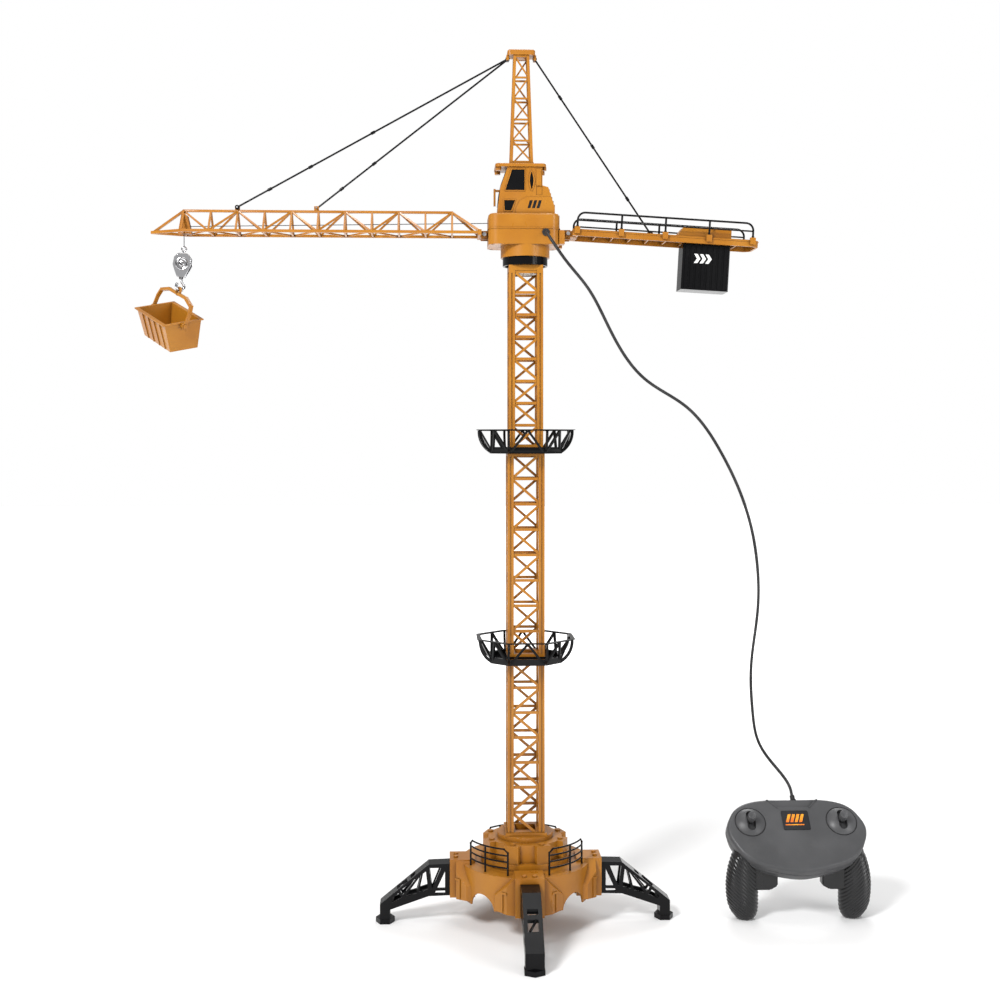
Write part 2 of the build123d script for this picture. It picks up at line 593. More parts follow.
keep("upper_cover", make_cover())
keep("housing_screws", *[screw(x, y, CASE_BOTTOM + 6, CASE_SPLIT + 8 - CASE_BOTTOM - 6, radius=0.95, head=2.1)
                         for x, y in CASE_BOSSES])
grommet = rod((GROMMET_X, -37.6, GROMMET_Z), (GROMMET_X, -CASE_HALF_DEPTH, GROMMET_Z), 5.4)
grommet += rod((GROMMET_X, -CASE_HALF_DEPTH, GROMMET_Z), (GROMMET_X, -31.5, GROMMET_Z), 4.0)
keep("cable_grommet", grommet - rod((GROMMET_X, -40, GROMMET_Z), (GROMMET_X, -30, GROMMET_Z), CABLE_RADIUS + 0.05))

# ---- drive frame, motors and winch ----
WINCH_PINION_X = WINCH_X + (WINCH_GEAR_TEETH + WINCH_PINION_TEETH) * WINCH_MODULE / 2
gear_frame = block(-44, 41, -24, 24, FRAME_Z, FRAME_TOP)
gear_frame -= disc(0, 0, FRAME_Z - 1, FRAME_TOP + 1, 13)
gear_frame -= disc(SLEW_SHAFT_X, 0, FRAME_Z - 1, FRAME_TOP + 1, SHAFT_RADIUS + BEARING_GAP)
for side, thick in ((-18.5, 2), (9, 2)):
    upright = block(-44, -18.4, side, side + thick, FRAME_TOP, WINCH_Z + 4)
    gear_frame += upright
gear_frame += block(-23, -5.6, 9, 11, FRAME_TOP, WINCH_Z + 4)
gear_frame -= rod((WINCH_X, -30, WINCH_Z), (WINCH_X, 30, WINCH_Z), SHAFT_RADIUS)
gear_frame -= rod((WINCH_PINION_X, 0, WINCH_Z), (WINCH_PINION_X, 30, WINCH_Z), 2.0)
for x, y in FRAME_SCREWS:
    gear_frame -= disc(x, y, FRAME_Z - 1, FRAME_TOP + 1, 1.15)
gear_frame -= rod((WINCH_X, 8.8, WINCH_Z), (WINCH_X, 11.2, WINCH_Z), 3.7)
keep("gear_frame", gear_frame)
keep("housing_screws", *[screw(x, y, FRAME_TOP, 4.0, radius=1.0, head=2.0, up=False) for x, y in FRAME_SCREWS])


def motor(width=15.0, radius=10.0, length=20.0):
    """A small can motor with two flats, standing on Z = 0 with a rear boss on top."""
    can = Cylinder(radius, length, align=(Align.CENTER, Align.CENTER, Align.MIN))
    can &= Pos(0, 0, length / 2) * Box(width, 2 * radius, length)
    return can + disc(0, 0, length, length + 1.6, 3)


gearbox_z = FRAME_TOP
slew_gearbox = block(SLEW_SHAFT_X - 7.5, SLEW_SHAFT_X + 7.5, -11, 11, gearbox_z, gearbox_z + 8)
keep("gearboxes", slew_gearbox - disc(SLEW_SHAFT_X, 0, gearbox_z - 1, gearbox_z + 4, SHAFT_RADIUS + BEARING_GAP))
keep("motors", Pos(SLEW_SHAFT_X, 0, gearbox_z + 8) * motor())
hoist_gearbox = block(WINCH_PINION_X - 7.5, WINCH_PINION_X + 7.5, 1, 9, WINCH_Z - 11, WINCH_Z + 11)
keep("gearboxes", hoist_gearbox - rod((WINCH_PINION_X, 5, WINCH_Z), (WINCH_PINION_X, 10, WINCH_Z),
                                          SHAFT_RADIUS + BEARING_GAP))
keep("motors", Pos(WINCH_PINION_X, 1, WINCH_Z) * Rot(90, 0, 0) * motor(length=17.0))

LAY_ON_Y = Rot(-90, 0, 0)
winch_pinion = Pos(WINCH_PINION_X, 12, WINCH_Z) * LAY_ON_Y * Rot(0, 0, 180 / WINCH_PINION_TEETH) * gear(
    WINCH_PINION_TEETH, WINCH_MODULE, 5.0)
winch_pinion += rod((WINCH_PINION_X, 6, WINCH_Z), (WINCH_PINION_X, 17, WINCH_Z), SHAFT_RADIUS)
keep("hoist_pinion", winch_pinion)
BARREL = WIND_RADIUS - STRING_RADIUS
drum = rod((WINCH_X, -11, WINCH_Z), (WINCH_X, 8.6, WINCH_Z), BARREL)
drum += rod((WINCH_X, -11, WINCH_Z), (WINCH_X, -9.6, WINCH_Z), 10)
drum += rod((WINCH_X, 7.2, WINCH_Z), (WINCH_X, 8.6, WINCH_Z), 10)
drum += rod((WINCH_X, 8.6, WINCH_Z), (WINCH_X, 12, WINCH_Z), 3.6)
drum += Pos(WINCH_X, 12, WINCH_Z) * LAY_ON_Y * gear(WINCH_GEAR_TEETH, WINCH_MODULE, 5.0)
keep("winch_drum", drum - rod((WINCH_X, -12, WINCH_Z), (WINCH_X, 20, WINCH_Z), SHAFT_RADIUS + BEARING_GAP))
coil = rod((WINCH_X, -9, WINCH_Z), (WINCH_X, 6.6, WINCH_Z), BARREL + 2 * STRING_RADIUS)
keep("wound_string", coil - rod((WINCH_X, -12, WINCH_Z), (WINCH_X, 9, WINCH_Z), BARREL))
keep("winch_axle", rod((WINCH_X, -21, WINCH_Z), (WINCH_X, 19, WINCH_Z), SHAFT_RADIUS))

# ---- cab ----
CAB_PROFILE = [(-42, 1036), (-37.6, 1075), (-26.5, ROOF_BOTTOM), (24, ROOF_BOTTOM), (24, 1078),
               (32.5, 1075.5), (42, 1046), (42, 1036)]
MAIN_WINDOW = [(-20.5, 1100.8), (-2.2, 1100.8), (-2.2, 1070.8), (-30.2, 1070.8)]
LOWER_WINDOW = [(-32, 1056), (-16, 1056), (-21.8, 1041), (-31.2, 1041)]
LENS = (8.1, 1071.8, 1098.2, 2.6)     # the narrow window: middle, bottom, top and half width


def lens_face(x, z0, z1, half, y):
    """A narrow pointed-oval outline in the XZ plane."""
    middle = (z0 + z1) / 2
    right = ThreePointArc((x, y, z0), (x + half, y, middle), (x, y, z1))
    left = ThreePointArc((x, y, z1), (x - half, y, middle), (x, y, z0))
    return make_face([right, left])


def grown(points, by):
    """The outline grown outwards from its middle by about that much."""
    middle_x = sum(x for x, z in points) / len(points)
    middle_z = sum(z for x, z in points) / len(points)
    return [(x + by * (1 if x > middle_x else -1), z + by * (1 if z > middle_z else -1)) for x, z in points]


def arch_panel(y0, y1):
    """The raised arch on the cab's lower side."""
    outline = [(-14.8, 1036.5), (-14.8, 1044), (-9, 1056), (2, 1061), (37, 1061), (42, 1046), (42, 1036.5)]
    return plate_y(outline, y0, y1)


def make_cab():
    """The cab shell, open below, with window openings on both sides and in front."""
    shell = plate_y(CAB_PROFILE, -CAB_HALF_WIDTH, CAB_HALF_WIDTH)
    inner = [(-39.5, 1035), (-35.2, 1075), (-24.6, ROOF_BOTTOM + 1), (21.8, ROOF_BOTTOM + 1), (21.8, 1076),
             (30.6, 1073.4), (39.8, 1046), (39.8, 1035)]
    shell -= plate_y(inner, -CAB_HALF_WIDTH + 2.2, CAB_HALF_WIDTH - 2.2)
    pieces = [shell]
    for side in (-1, 1):
        face = side * CAB_HALF_WIDTH
        y0, y1 = sorted((face, face + side * 1.1))
        pieces.append(arch_panel(y0, y1))
        for window in (MAIN_WINDOW, LOWER_WINDOW):
            pieces.append(plate_y(grown(window, 1.3), y0, y1))
        lens_frame = lens_face(LENS[0], LENS[1] - 2.6, LENS[2] + 2.6, LENS[3] + 2, y0)
        pieces.append(extrude(lens_frame, y1 - y0, dir=(0, 1, 0)))
        pieces.append(block(15, 22, y0, y1, 1075, 1102))
    for step in range(5):
        x = 33.4 + step * 1.9
        z = 1072 - step * 5.6
        pieces.append(block(x - 1.6, x + 1.6, -18, 18, z - 1.6, z + 1.2))
    cab = joined(pieces)
    for side in (-1, 1):
        y0, y1 = sorted((side * (CAB_HALF_WIDTH - 3), side * (CAB_HALF_WIDTH + 2)))
        for window in (MAIN_WINDOW, LOWER_WINDOW):
            cab -= plate_y(window, y0, y1)
        cab -= extrude(lens_face(*LENS, y0), y1 - y0, dir=(0, 1, 0))
        recess_y0, recess_y1 = sorted((side * (CAB_HALF_WIDTH - 1), side * (CAB_HALF_WIDTH + 2)))
        cab -= plate_y([(14.8, 1077.3), (23.9, 1077.3), (23.9, 1064), (14.8, 1064)], recess_y0, recess_y1)
    for low, high in WINDSCREENS:
        cab -= windscreen(low, high, 6.0)
    cab += block(-41, -35, -22, 22, 1036, 1038.2)
    cab += block(30, 41, -22, 22, 1036, 1038.2)
    for side in (-1, 1):
        for x in (-36, 34):
            cab -= disc(x, side * 18, 1035, 1040, 0.95)
    return cab


WINDSCREENS = [((-40.2, 1052), (-38.2, 1070)), ((-36.6, 1078), (-28.6, 1100))]


def windscreen(low, high, depth):
    """A plate lying in the sloped cab front between two profile points."""
    return bar((low[0], 0, low[1]), (high[0], 0, high[1]), depth, 36, facing=(0, 1, 0))


windows = []
for side in (-1, 1):
    pane_y0, pane_y1 = sorted((side * (CAB_HALF_WIDTH - 2), side * CAB_HALF_WIDTH))
    for window in (MAIN_WINDOW, LOWER_WINDOW):
        windows.append(plate_y(window, pane_y0, pane_y1))
    windows.append(extrude(lens_face(*LENS, pane_y0), pane_y1 - pane_y0, dir=(0, 1, 0)))
for low, high in WINDSCREENS:
    windows.append(windscreen(low, high, 1.6))
keep("cab_windows", *windows)
keep("housing_screws", *[screw(x, side * 18, CASE_TOP - WALL, 4.4, radius=0.9, head=2.0)
                         for side in (-1, 1) for x in (-36, 34)])
mirror_arm = block(-46.5, -43.6, -3, 3, 1051, 1076) + block(-44, -37.4, -1.5, 1.5, 1072, 1075)
keep("cab_shell", make_cab() + (mirror_arm - plate_y(CAB_PROFILE, -30, 30)))

roof = extrude(Pos((-45 + 29.5) / 2, 0, ROOF_BOTTOM) * RectangleRounded(74.5, 53, 6), ROOF_TOP - ROOF_BOTTOM)
roof = fillet(roof.faces().sort_by(Axis.Z)[-1].edges(), 1.8)
for side in (-1, 1):
    for x, radius in ((-40, 4.2), (27.2, 3.0)):
        roof += rod((x, side * 17, ROOF_BOTTOM - 4.4), (x, side * 17, ROOF_BOTTOM + 0.5), radius)
for side in (-1, 1):
    roof += block(-22, 20, side * 20 - 1.2, side * 20 + 1.2, ROOF_BOTTOM - 3, ROOF_BOTTOM)
    for x in (-1, 1):
        roof -= disc(PEAK_X + x * 12, side * 12, ROOF_BOTTOM - 1, ROOF_TOP + 1, 1.5)
keep("cab_roof", roof)

# ---- peak ----
PEAK_PANELS = 5


def peak_half(z):
    """Half width of the tapered peak at a height."""
    share = (z - ROOF_TOP) / (PEAK_TOP - ROOF_TOP)
    return (PEAK_WIDTH_LOW + (PEAK_WIDTH_HIGH - PEAK_WIDTH_LOW) * share) / 2 - 2


def make_peak():
    """The tapered lattice tower on the cab roof."""
    pieces = [Pos(PEAK_X, 0, 0) * square_ring(PEAK_WIDTH_LOW / 2 + 1, 12, ROOF_TOP, ROOF_TOP + 2.4)]
    pieces.append(Pos(PEAK_X, 0, 0) * square_ring(PEAK_WIDTH_HIGH / 2, 6, PEAK_TOP - 3, PEAK_TOP))
    pitch = (PEAK_TOP - ROOF_TOP - 6) / PEAK_PANELS
    heights = [ROOF_TOP + 4 + level * pitch for level in range(PEAK_PANELS + 1)]
    for quarter in range(4):
        low, high = peak_half(ROOF_TOP + 1), peak_half(PEAK_TOP - 1)
        corner = bar((low, low, ROOF_TOP + 1), (high, high, PEAK_TOP - 1), 4.0, 4.0)
        pieces.append(Pos(PEAK_X, 0, 0) * turned(corner, quarter * 90))
        for level, z in enumerate(heights):
            half = peak_half(z)
            rail = bar((-half, -half, z), (half, -half, z), 2.6, 2.6)
            pieces.append(Pos(PEAK_X, 0, 0) * turned(rail, quarter * 90))
            if level < PEAK_PANELS:
                over = peak_half(heights[level + 1])
                side = 1 if level % 2 else -1
                lace = bar((-side * half, -half, z), (side * over, -over, heights[level + 1]), 2.2, 2.2)
                pieces.append(Pos(PEAK_X, 0, 0) * turned(lace, quarter * 90))
    for side in (-1, 1):
        for x in (-1, 1):
            pieces.append(disc(PEAK_X + x * 12, side * 12, ROOF_TOP - 4.5, ROOF_TOP + 1, 1.5))
            pieces.append(block(PEAK_X + x * 13 - 3, PEAK_X + x * 13 + 3, side * 13 - 3, side * 13 + 3,
                                ROOF_TOP, ROOF_TOP + 2.4))
    return joined(pieces)


keep("mast_peak", make_peak())
cap = extrude(Pos(PEAK_X, 0, PEAK_TOP) * RectangleRounded(41, 27, 5), CAP_HEIGHT)
cap = fillet(cap.faces().sort_by(Axis.Z)[-1].edges(), 2.4)
cap += block(PEAK_X - 5.9, PEAK_X + 5.9, -5.9, 5.9, PEAK_TOP - 3, PEAK_TOP)
PENDANT_EYE_Z = PEAK_TOP - 3.8
for side in (-1, 1):
    for y in (-5, 5):
        x = PEAK_X + side * 20
        cap += block(x - 2, x + 2, y - 1.5, y + 1.5, PENDANT_EYE_Z - 2.5, PEAK_TOP + 1)
    cap -= rod((PEAK_X + side * 20, -12, PENDANT_EYE_Z), (PEAK_X + side * 20, 12, PENDANT_EYE_Z), 0.9)
    cap += rod((PEAK_X + side * 20, -6.5, PENDANT_EYE_Z), (PEAK_X + side * 20, 6.5, PENDANT_EYE_Z), 0.9)
keep("peak_cap", cap)


# ---- jib ----
def make_jib():
    """The triangular lattice jib: one top chord, two bottom chords and side lacing."""
    nodes = [JIB_TIP_NODE_X + JIB_PITCH * step for step in range(JIB_PANELS + 1)]
    top_end = nodes[-1]
    half = JIB_HALF_WIDTH
    low, high = JIB_BOTTOM_Z, JIB_TOP_Z
    pieces = [bar((nodes[0] - 1.5, 0, high), (top_end + 1.5, 0, high), 3.6, 4.4)]
    for side in (-1, 1):
        y = side * half
        pieces.append(bar((nodes[0] - 1, y, low), (JIB_ROOT_X, y, low), CHORD, CHORD))
        nose_end = (nodes[0] + 1.5, side * (half - 0.4), low)
        pieces.append(bar((JIB_TIP_X + 2, side * 1.5, low), nose_end, CHORD, CHORD))
        pieces.append(bar((JIB_ROOT_X - 2, y, low + 2), (top_end, 0, high), 3.4, 3.4))
        for step, x in enumerate(nodes):
            pieces.append(bar((x, y, low), (x, 0, high), LACING, LACING))
            if step < JIB_PANELS:
                over = nodes[step + 1]
                downward = step % 2 == 0
                start = (x, 0, high) if downward else (x, y, low)
                end = (over, y, low) if downward else (over, 0, high)
                pieces.append(bar(start, end, LACING, LACING))
    for step, x in enumerate(nodes):
        pieces.append(bar((x, -half, low), (x, half, low), LACING, LACING, facing=(0, 0, 1)))
        if step < JIB_PANELS:
            side = 1 if step % 2 else -1
            over = nodes[step + 1]
            pieces.append(bar((x, -side * half, low), (over, side * half, low), 2.2, 2.2, facing=(0, 0, 1)))
    pieces.append(bar((JIB_TIP_X + 3, 0, low), (nodes[0], 0, high), 3.4, 4.4))
    pieces.append(block(JIB_TIP_X, JIB_TIP_X + 5, -3.5, 3.5, low - CHORD / 2, low + CHORD / 2))
    pieces.append(block(JIB_ROOT_X - 4, JIB_ROOT_X + 1, -half - 2, half + 2, low - 4, low + 4))
    for lug_x in (LONG_LUG_X, SHORT_LUG_X):
        pieces.append(block(lug_x - 3.5, lug_x + 3.5, -1.5, 1.5, high, high + 8))
    for side in (-1, 1):
        pieces.append(plate_y([(nodes[0] - 8, low - 2), (nodes[0] + 12, low - 2), (nodes[0] + 6, high - 8),
                               (nodes[0] - 2, high - 1)], side * 5 - 1, side * 5 + 1))
    pieces.append(block(nodes[0] - 1.5, nodes[0] + 1.5, -6, 6, high - 3, high))
    pieces.append(block(nodes[0] + 7, nodes[0] + 10, -6, 6, low - 2, low + 2))
    jib = joined(pieces)
    for side in (-1, 1):
        knuckle = block(JIB_ROOT_X, JIB_PIN_X + 4, side * 14 - 3, side * 14 + 3, 1003, 1011)
        jib += knuckle
    jib += block(JIB_ROOT_X, JIB_PIN_X + 4, -7.8, 7.8, 1003, 1011)
    jib -= rod((JIB_PIN_X, -30, 1007.0), (JIB_PIN_X, 30, 1007.0), 1.5)
    jib -= rod((PULLEY_X, -20, PULLEY_Z), (PULLEY_X, 20, PULLEY_Z), 1.2)
    jib -= block(PULLEY_X - 6.5, PULLEY_X + 6.5, -2.6, 2.6, 1006, 1020)
    for lug_x in (LONG_LUG_X, SHORT_LUG_X):
        jib -= rod((lug_x, -5, high + 5.4), (lug_x, 5, high + 5.4), 1.2)
    return jib


LONG_LUG_X = -421.0
SHORT_LUG_X = -306.0
keep("jib", make_jib())
pin = rod((JIB_PIN_X, -18.5, 1007.0), (JIB_PIN_X, 17, 1007.0), 1.5)
keep("hinge_pins", pin + rod((JIB_PIN_X, -20, 1007.0), (JIB_PIN_X, -17, 1007.0), 2.8))
keep("hinge_pins", rod((PULLEY_X, -6.6, PULLEY_Z), (PULLEY_X, 6.6, PULLEY_Z), 1.2))
groove = PULLEY_RADIUS - STRING_RADIUS
pulley = rod((PULLEY_X, -1.8, PULLEY_Z), (PULLEY_X, 1.8, PULLEY_Z), groove)
for side in (-1, 1):
    y0, y1 = sorted((side * 0.9, side * 2.1))
    pulley += rod((PULLEY_X, y0, PULLEY_Z), (PULLEY_X, y1, PULLEY_Z), groove + 1.2)
keep("tip_pulley", pulley - rod((PULLEY_X, -5, PULLEY_Z), (PULLEY_X, 5, PULLEY_Z), 1.2 + BEARING_GAP))
STRING_TOP_PULLEY = (PULLEY_X, 0, PULLEY_Z + PULLEY_RADIUS + 0.02)
STRING_TOP_DRUM = (WINCH_X, 0, WINCH_Z + WIND_RADIUS + 0.94)
keep("jib_string", rod(STRING_TOP_DRUM, STRING_TOP_PULLEY, STRING_RADIUS))

# ---- tie rods ----
def pendant(start, end, knuckles):
    """A moulded tie rod with clip eyes at its ends and small knuckles along it."""
    way = (Vector(*end) - Vector(*start)).normalized()
    first = Vector(*start) + way * 2.4
    last = Vector(*end) - way * 2.4
    piece = rod(tuple(first), tuple(last), 1.35)
    for share in knuckles:
        middle = Vector(*start) + (Vector(*end) - Vector(*start)) * share
        piece += rod(tuple(middle - way * 3.2), tuple(middle + way * 3.2), 2.2)
    for point in (start, end):
        x, y, z = point
        piece += rod((x, y - 1.6, z), (x, y + 1.6, z), 3.2)
        piece -= rod((x, y - 3, z), (x, y + 3, z), 1.25)
    return piece


lug_z = JIB_TOP_Z + 5.4
left_eye = PEAK_X - 20
right_eye = PEAK_X + 20
long_rod = pendant((left_eye, -1.9, PENDANT_EYE_Z), (LONG_LUG_X, -3.3, lug_z), [0.5, 0.73, 0.88])
keep("tie_rods", long_rod)
short_rod = pendant((left_eye, 1.9, PENDANT_EYE_Z), (SHORT_LUG_X, 3.3, lug_z), [0.7, 0.87])
keep("tie_rods", short_rod)
keep("hinge_pins", *[rod((x, -5.4, lug_z), (x, 5.4, lug_z), 1.2) for x in (LONG_LUG_X, SHORT_LUG_X)])

# ---- counter-jib ----
DECK_TOP = 6.0
RAIL_ROD = 1.5
POST_STEPS = [12 + 64.5 * step for step in range(5)]


def drooped(piece):
    """A counter-jib piece turned about its pin to the deck's slope."""
    return Pos(COUNTER_PIN_X, 0, COUNTER_PIN_Z) * Rot(0, COUNTER_DROOP, 0) * piece


def make_counter_deck():
    """The counter-jib deck along +X from its pin: a plate with fascias, ribs and post sockets."""
    half = COUNTER_HALF_WIDTH
    end = COUNTER_LENGTH + 6
    outline = [(10, -half), (end - 9, -half), (end, -half + 9), (end, half - 9), (end - 9, half), (10, half)]
    inner = [(13, -half + 3), (end - 10, -half + 3), (end - 3, -half + 10), (end - 3, half - 10),
             (end - 10, half - 3), (13, half - 3)]
    deck = plate_z(outline, DECK_TOP - 10, DECK_TOP) - plate_z(inner, DECK_TOP - 11, DECK_TOP - 2)
    edge = plate_z([(x + (0.8 if x > 20 else 0), y * 1.03) for x, y in outline], DECK_TOP - 2.6, DECK_TOP - 1)
    pieces = [deck, edge - plate_z(inner, DECK_TOP - 11, DECK_TOP - 2)]
    for x in range(40, int(end) - 8, 26):
        pieces.append(block(x, x + 1.6, -half + 2, half - 2, DECK_TOP - 8, DECK_TOP - 1))
    for side in (-1, 1):
        for x in POST_STEPS:
            y = side * (half + 0.8)
            pieces.append(block(x - 4, x + 4, y - 2.8, y + 2.8, DECK_TOP - 7, DECK_TOP + 3))
    pieces.append(block(-4, 14, -7.8, 7.8, DECK_TOP - 11, DECK_TOP - 2))
    pieces.append(block(6, 14, -half, half, DECK_TOP - 10, DECK_TOP))
    for side in (-1, 1):
        pieces.append(block(-4, 12, side * 14.2 - 3, side * 14.2 + 3, DECK_TOP - 11, DECK_TOP - 2))
    pieces.append(block(ROD_EYE - 4, ROD_EYE + 4, -2, 2, DECK_TOP - 1, DECK_TOP + 6))
    deck = joined(pieces)
    deck -= rod((0, -40, 0), (0, 40, 0), 1.5)
    deck -= rod((ROD_EYE, -8, DECK_TOP + 3.4), (ROD_EYE, 8, DECK_TOP + 3.4), 1.2)
    for side in (-1, 1):
        for x in POST_STEPS:
            deck -= disc(x, side * (half + 0.8), DECK_TOP - 4, DECK_TOP + 4, RAIL_ROD + 0.1)
    for x in WEIGHT_SCREWS:
        deck -= disc(x, 0, DECK_TOP - 12, DECK_TOP + 1, 1.2)
    return deck


ROD_EYE = 123.0
WEIGHT_X = 170.0
WEIGHT_WIDTH = 70.0
WEIGHT_HEIGHT = 67.0
WEIGHT_SCREWS = [WEIGHT_X + 14, WEIGHT_X + 62]
keep("counter_jib", drooped(make_counter_deck()))
counter_pin = rod((0, -20.5, 0), (0, 19, 0), 1.5) + rod((0, -20.5, 0), (0, -19.4, 0), 2.8)
keep("hinge_pins", drooped(counter_pin))


def make_counter_railing(side):
    """Five posts with a top rail and a mid rail, its top corners rounded."""
    y = side * (COUNTER_HALF_WIDTH + 0.8)
    first, last = POST_STEPS[0], POST_STEPS[-1]
    foot, top = DECK_TOP - 3.6, DECK_TOP + 24.0
    hoop = pipe([(first, y, foot), (first, y, top), (last, y, top), (last, y, foot)], RAIL_ROD, turn=11)
    pieces = [hoop, rod((first, y, DECK_TOP + 12.5), (last, y, DECK_TOP + 12.5), 1.2)]
    for x in POST_STEPS[1:-1]:
        pieces.append(disc(x, y, foot, top, RAIL_ROD))
    for x in POST_STEPS:
        pieces.append(disc(x, y, DECK_TOP + 3, DECK_TOP + 5, 2.0))
    return joined(pieces)


keep("counter_railings", *[drooped(make_counter_railing(side)) for side in (-1, 1)])
ballast_side = [(WEIGHT_X - 10, DECK_TOP), (WEIGHT_X, DECK_TOP + 15), (WEIGHT_X + 70, DECK_TOP + 15),
                (WEIGHT_X + 70, DECK_TOP)]
ballast = plate_y(ballast_side, -22, 22)
ballast_hollow = [(WEIGHT_X - 5, DECK_TOP - 1), (WEIGHT_X + 3, DECK_TOP + 12.6),
                  (WEIGHT_X + 67.6, DECK_TOP + 12.6), (WEIGHT_X + 67.6, DECK_TOP - 1)]
ballast -= plate_y(ballast_hollow, -19.6, 19.6)
for step in range(3):
    x = WEIGHT_X + 14 + step * 20
    ballast += block(x - 6, x + 6, -14, 14, DECK_TOP + 15, DECK_TOP + 16.6)
keep("ballast_box", drooped(ballast))
weight_foot = DECK_TOP - 10 - WEIGHT_HEIGHT
weight = block(WEIGHT_X, WEIGHT_X + WEIGHT_WIDTH, -20, 20, weight_foot, DECK_TOP - 10)
weight = fillet(weight.edges().filter_by(Axis.Z), 2.0)
weight -= block(WEIGHT_X + 2.4, WEIGHT_X + WEIGHT_WIDTH - 2.4, -17.6, 17.6, weight_foot + 2, DECK_TOP - 13)
for rib in range(8):
    x = WEIGHT_X + 4 + rib * 8.2
    for y in (-20.4, 20.4):
        weight += block(x, x + 4.4, y - 0.6, y + 0.6, weight_foot + 2, DECK_TOP - 12)
for x in WEIGHT_SCREWS:
    weight += disc(x, 0, DECK_TOP - 22, DECK_TOP - 2, 3.4)
    weight -= disc(x, 0, DECK_TOP - 14, DECK_TOP - 1, 0.95)
keep("counterweight", drooped(weight))
keep("housing_screws", *[drooped(screw(x, 0, DECK_TOP, 12, radius=0.95, head=2.4, up=False))
                         for x in WEIGHT_SCREWS])
eye_place = Pos(COUNTER_PIN_X, 0, COUNTER_PIN_Z) * Rot(0, COUNTER_DROOP, 0) * Pos(ROD_EYE, 0, DECK_TOP + 3.4)
eye = eye_place.position
keep("tie_rods", pendant((right_eye, -1.9, PENDANT_EYE_Z), (eye.X, -3.9, eye.Z), [0.22, 0.5, 0.8]))
keep("hinge_pins", rod((eye.X, -6, eye.Z), (eye.X, 3, eye.Z), 1.2))

# ---- hook block, hook, handle and basket ----
block_place = Pos(STRING_X, 0, EYE_Z) * Rot(0, BLOCK_LEAN, 0)
hook_place = block_place * Rot(0, 0, HOOK_YAW)


def make_hook_block():
    """Two chromed cheeks joined at the top and bottom, with an eye for the string."""
    outline = [(-7, -7), (-12, -13), (-13, -24), (-9, -34), (-5.5, -41), (5.5, -41), (9, -34), (13, -24),
               (12, -13), (7, -7)]
    cheeks = [plate_y(outline, side * 5.2 - 1.2, side * 5.2 + 1.2) for side in (-1, 1)]
    pieces = cheeks + [block(-6, 6, -6, 6, -10, -6.4), block(-5.5, 5.5, -6, 6, -41, -36)]
    pieces.append(block(-1.5, 1.5, -1.5, 1.5, -7, -2.6))
    body = joined(pieces) + Rot(90, 0, 0) * Torus(3.2, 1.2)
    body -= rod((0, -10, -22), (0, 10, -22), 1.6)
    body -= disc(0, 0, -50, -30, 1.8 + BEARING_GAP)
    return body


keep("hook_block", block_place * make_hook_block())
keep("block_sheave", block_place * (rod((0, -2.6, -22), (0, 2.6, -22), 9.4)
                                    - (rod((0, -1.1, -22), (0, 1.1, -22), 12) - rod((0, -3, -22), (0, 3, -22), 7.6))
                                    - rod((0, -5, -22), (0, 5, -22), 1.6 + BEARING_GAP)))
bolt = rod((0, -7.6, -22), (0, 7.6, -22), 1.6) + rod((0, -7.8, -22), (0, -6.4, -22), 3.0)
keep("block_bolt", block_place * (bolt + rod((0, 6.4, -22), (0, 7.8, -22), 3.0)))


def make_hook():
    """The hook: a shank with a head above its seat and a round bend open to -X."""
    drop = -THROAT_DROP
    bend = Line((0, 0, drop + 13), (0, 0, drop + 10))
    angles = [55, 10, -40, -90, -140, -185, -205]
    curve = [(HOOK_RADIUS * cos(radians(a)), 0, drop + HOOK_RADIUS * sin(radians(a))) for a in angles]
    path = Spline([(0, 0, drop + 12.5)] + curve, tangents=[(0, 0, -1), (0.35, 0, 1)])
    hook = sweep(Plane(origin=path @ 0, z_dir=path % 0) * Circle(HOOK_ROD), path)
    hook += disc(0, 0, drop + 12, -33, 1.8) + disc(0, 0, -35.9, -33, 3.2) + disc(0, 0, drop + 10.6, -41.2, 2.9)
    tip = path @ 1
    return hook + Pos(tip) * Sphere(HOOK_ROD + 0.25)


keep("hook", hook_place * make_hook())
THROAT = hook_place * Pos(0, 0, -THROAT_DROP)
throat_point = THROAT.position
hang = Rot(BASKET_LEAN, 0, 0) * Rot(0, 0, HOOK_YAW)
RING_DROP = HOOK_RADIUS + 3.3 - HOOK_ROD + 0.25
down = (hang * Rot(0, HANDLE_LEAN, 0) * Pos(0, 0, -1)).position
hook_side = (hook_place.position - (hook_place * Pos(0, 1, 0)).position)
ring_way = down - hook_side * down.dot(hook_side)
ring_centre = throat_point + ring_way.normalized() * RING_DROP
handle_place = Pos(ring_centre) * hang * Rot(0, HANDLE_LEAN, 0)
pivot_place = handle_place * Pos(0, 0, -HANDLE_DROP)
basket_place = Pos(pivot_place.position) * hang


